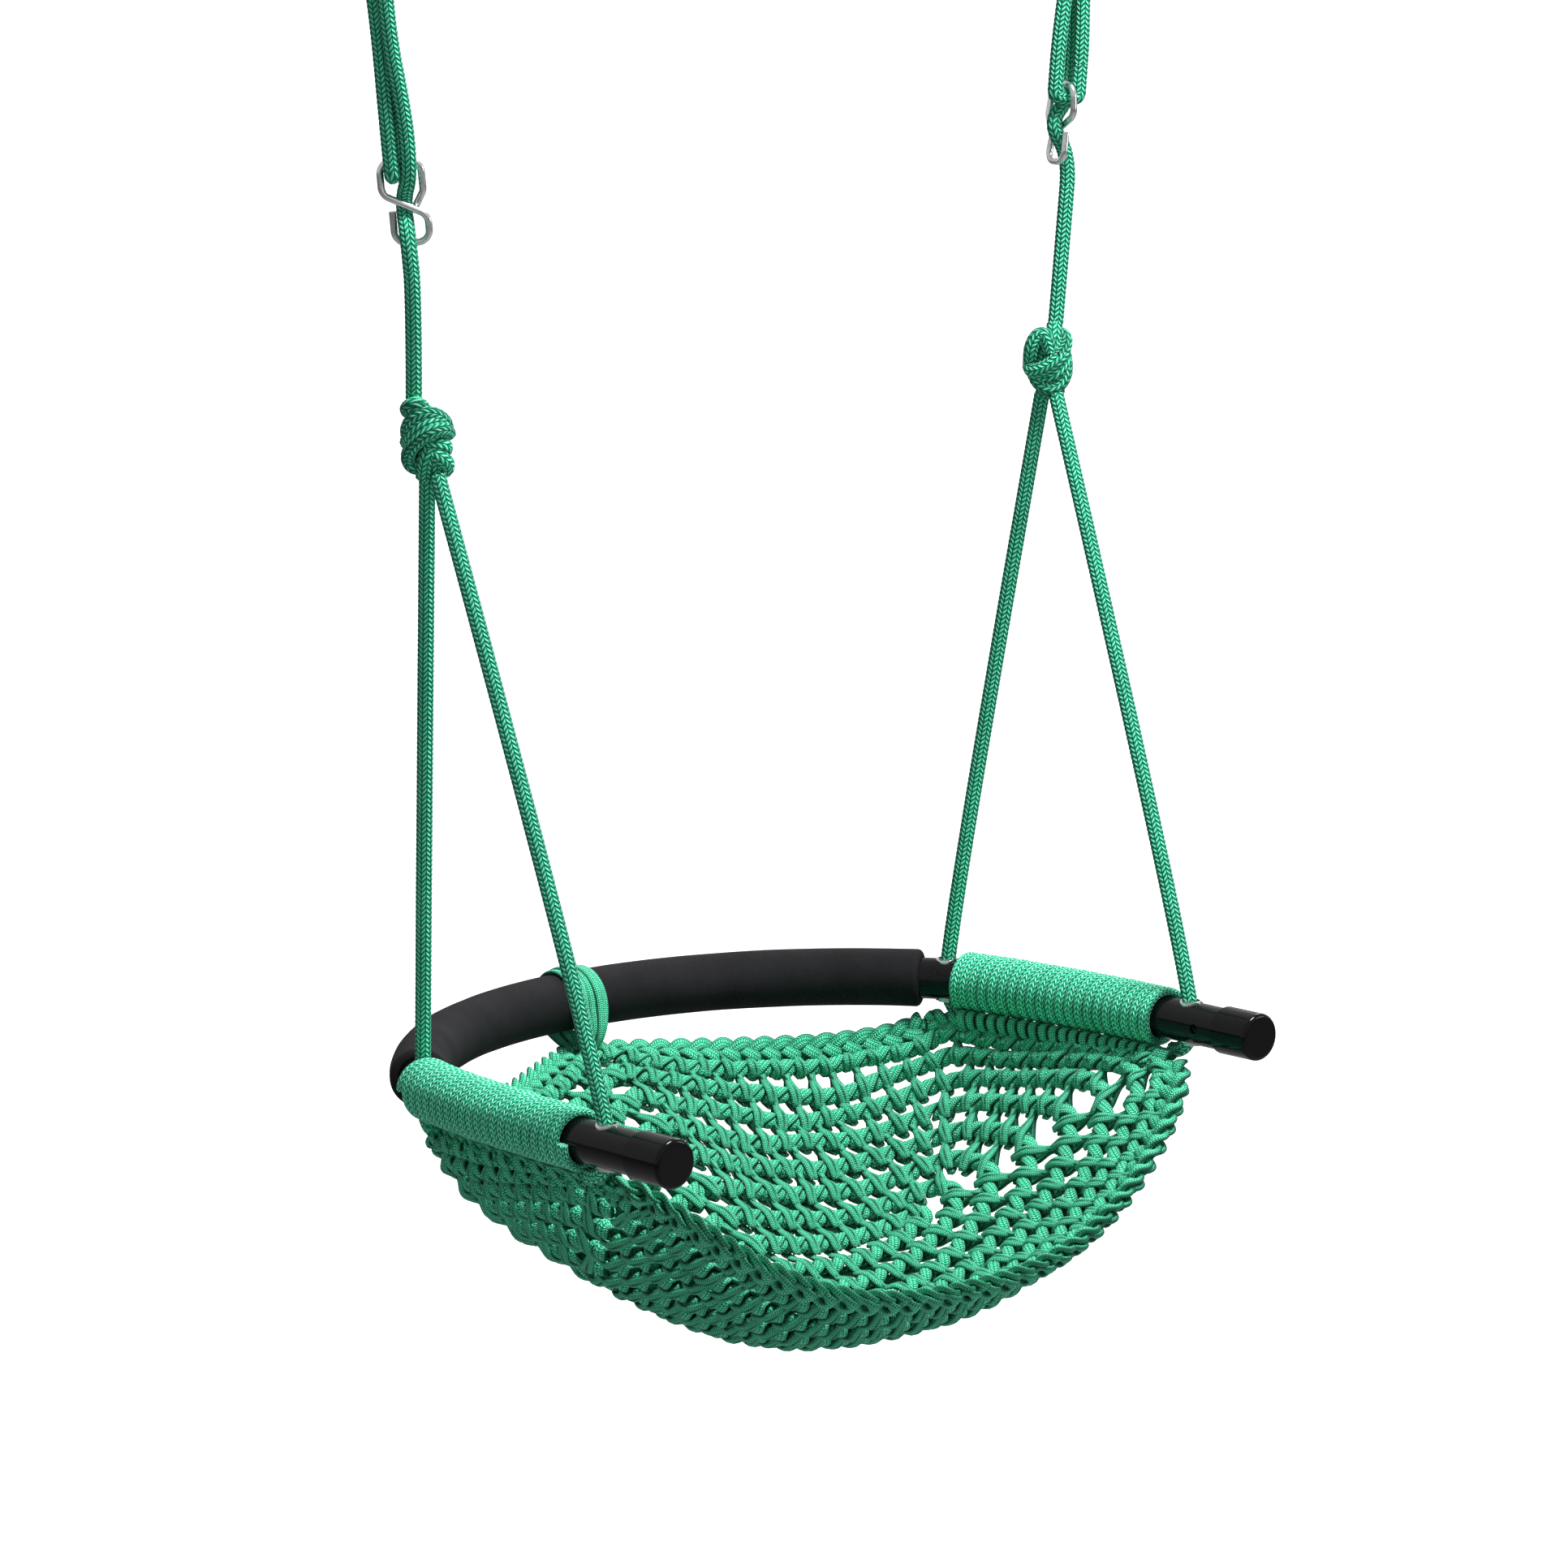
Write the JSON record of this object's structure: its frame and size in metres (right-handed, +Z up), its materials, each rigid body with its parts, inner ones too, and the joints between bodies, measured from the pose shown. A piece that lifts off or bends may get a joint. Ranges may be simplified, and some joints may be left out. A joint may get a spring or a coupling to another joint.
{
  "type": "rope net swing seat",
  "caption": "Child's swing seat: a crocheted rope net hung in a padded U-shaped tube, on ropes with wire adjusters that hang from rings.",
  "frame": {"origin": "midway between the two hanging rings, level with the tops of their holes, where a hook bears", "axes": "+Z up, -Y forward through the open end of the tube, +X to the sitter's left; node names say left and right as seen from the front"},
  "size_m": [0.5936, 0.3789, 0.8976],
  "materials": {
    "tube": "gloss",
    "cap": "gloss",
    "foam": "matte",
    "net_cord": "satin",
    "rope": "satin",
    "eyelet": "gloss",
    "wire": "satin",
    "ring": "satin"
  },
  "bodies": {
    "hangers": {"ring_left": "ring", "ring_right": "ring"},
    "suspension": {"rope_over_ring_left": "rope", "rope_over_ring_right": "rope", "rope_tail_left": "rope", "rope_tail_right": "rope", "tail_knot_left": "rope", "tail_knot_right": "rope"},
    "adjusters": {"adjuster_left": "wire", "adjuster_right": "wire", "rope_weave_left": "rope", "rope_weave_right": "rope", "rope_bight_left": "rope", "rope_bight_right": "rope"},
    "knots": {"knot_left": "rope", "knot_right": "rope", "rope_lower_left": "rope", "rope_lower_right": "rope"},
    "seat": {"frame_tube": "tube", "foam_sleeve": "foam", "seat_net": "net_cord", "back_lashing": "net_cord", "end_cap_left": "cap", "end_cap_right": "cap", "arm_winding_left": "rope", "arm_winding_right": "rope", "arm_lacing_left": "net_cord", "arm_lacing_right": "net_cord", "rope_leg_front_left": "rope", "rope_leg_front_right": "rope", "rope_leg_rear_left": "rope", "rope_leg_rear_right": "rope", "eyelet_front_left_top": "eyelet", "eyelet_front_left_bottom": "eyelet", "eyelet_front_right_top": "eyelet", "eyelet_front_right_bottom": "eyelet", "eyelet_rear_left_top": "eyelet", "eyelet_rear_left_bottom": "eyelet", "eyelet_rear_right_top": "eyelet", "eyelet_rear_right_bottom": "eyelet"}
  },
  "joints": [
    {"name": "swing", "type": "hinge", "parent": "hangers", "child": "suspension", "pos_m": [0, 0, -0.0445], "axis": [1, 0, 0], "range_deg": [-50, 50]},
    {"name": "adjuster_slide", "type": "slide", "parent": "suspension", "child": "adjusters", "axis": [0, 0, 1], "range_m": [-0.02, 0.03], "deforming": ["rope_over_ring_left", "rope_over_ring_right", "rope_tail_left", "rope_tail_right"]},
    {"name": "seat_height", "type": "slide", "parent": "adjusters", "child": "knots", "axis": [0, 0, 1], "range_m": [-0.09, 0.06], "deforming": ["rope_lower_left", "rope_lower_right"]},
    {"name": "seat_tilt", "type": "hinge", "parent": "knots", "child": "seat", "pos_m": [0, 0, -0.3545], "axis": [1, 0, 0], "range_deg": [-30, 30]}
  ],
  "couplings": [
    {"joint": "adjuster_slide", "follows": "seat_height", "ratio": -0.33333}
  ]
}
